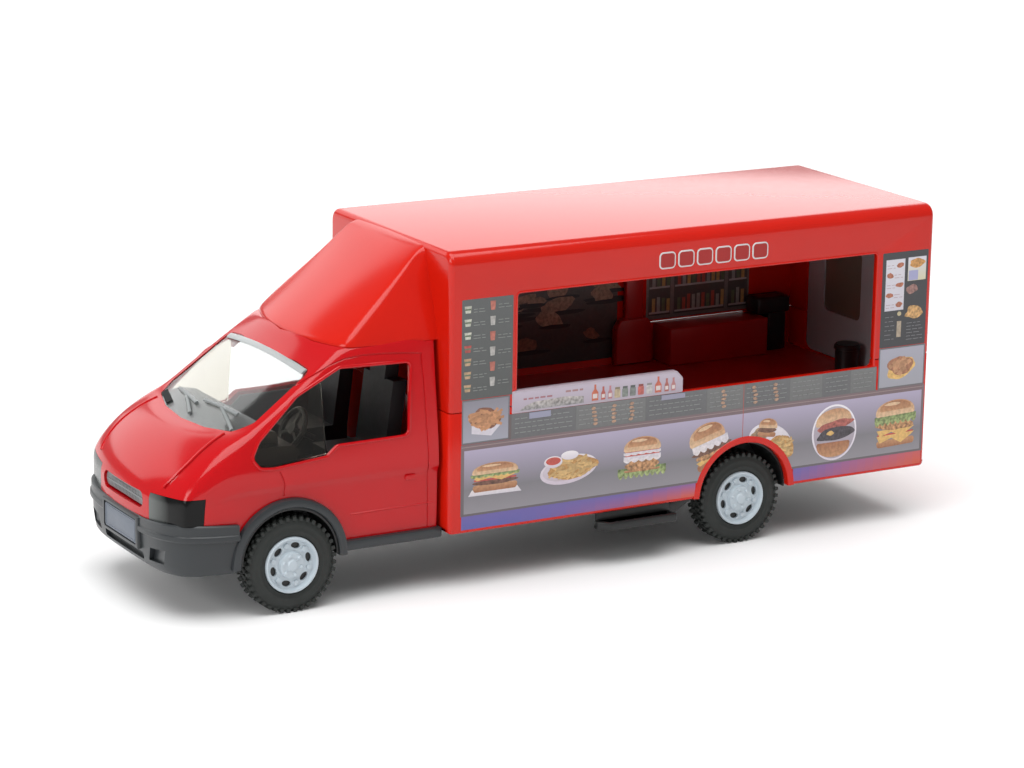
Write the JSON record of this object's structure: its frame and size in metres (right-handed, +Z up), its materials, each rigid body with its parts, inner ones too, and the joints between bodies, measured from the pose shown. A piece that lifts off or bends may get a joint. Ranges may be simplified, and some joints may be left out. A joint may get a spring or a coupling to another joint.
{
  "type": "toy food truck",
  "caption": "Toy food truck with a die-cast cab, a plastic serving box with an open serving window, and two free-rolling wheel sets on steel axles.",
  "frame": {"origin": "on the ground under the middle of the toy's overall length and width", "axes": "front faces -Y, the serving side is +X, up is +Z"},
  "size_m": [0.0546, 0.1736, 0.0678],
  "materials": {
    "cab_paint": "high gloss",
    "box_plastic": "gloss",
    "clear_plastic": "clear",
    "lamp_lens": "smoked",
    "grey_plastic": "satin",
    "plate_grey": "satin",
    "black_plastic": "satin",
    "board_white": "gloss",
    "tile_silver": "gloss",
    "printed_sheet": "satin",
    "door_grey": "satin",
    "lamp_red": "gloss",
    "axle_steel": "satin",
    "hub_plastic": "satin",
    "tyre_rubber": "matte"
  },
  "bodies": {
    "truck": {"cab_shell": "cab_paint", "cab_glazing": "clear_plastic", "headlamp_left": "lamp_lens", "headlamp_right": "lamp_lens", "grille": "grey_plastic", "front_bumper": "grey_plastic", "number_plate": "plate_grey", "arch_sill_left": "grey_plastic", "arch_sill_right": "grey_plastic", "cab_floor": "black_plastic", "dashboard": "black_plastic", "steering_wheel": "black_plastic", "seat_left": "black_plastic", "seat_right": "black_plastic", "box_upper": "box_plastic", "box_lower": "box_plastic", "condiment_board": "board_white", "sign_tiles": "tile_silver", "side_print_left": "printed_sheet", "side_print_right": "printed_sheet", "kitchen_floor": "box_plastic", "wall_cabinet": "box_plastic", "wall_pilaster": "box_plastic", "drinks_post": "black_plastic", "waste_bin": "black_plastic", "rear_door": "door_grey", "rear_lamp_left": "lamp_red", "rear_lamp_right": "lamp_red", "chassis": "black_plastic", "side_step_left": "black_plastic", "side_step_right": "black_plastic"},
    "front_wheels": {"front_axle": "axle_steel", "hub_front_left": "hub_plastic", "hub_front_right": "hub_plastic", "tyre_front_left": "tyre_rubber", "tyre_front_right": "tyre_rubber"},
    "rear_wheels": {"rear_axle": "axle_steel", "hub_rear_left": "hub_plastic", "hub_rear_right": "hub_plastic", "tyre_rear_left": "tyre_rubber", "tyre_rear_right": "tyre_rubber"}
  },
  "joints": [
    {"name": "front_wheels_spin", "type": "hinge", "parent": "truck", "child": "front_wheels", "pos_m": [0, -0.06145, 0.0096], "axis": [1, 0, 0], "continuous": true},
    {"name": "rear_wheels_spin", "type": "hinge", "parent": "truck", "child": "rear_wheels", "pos_m": [0, 0.04115, 0.0096], "axis": [1, 0, 0], "continuous": true}
  ]
}
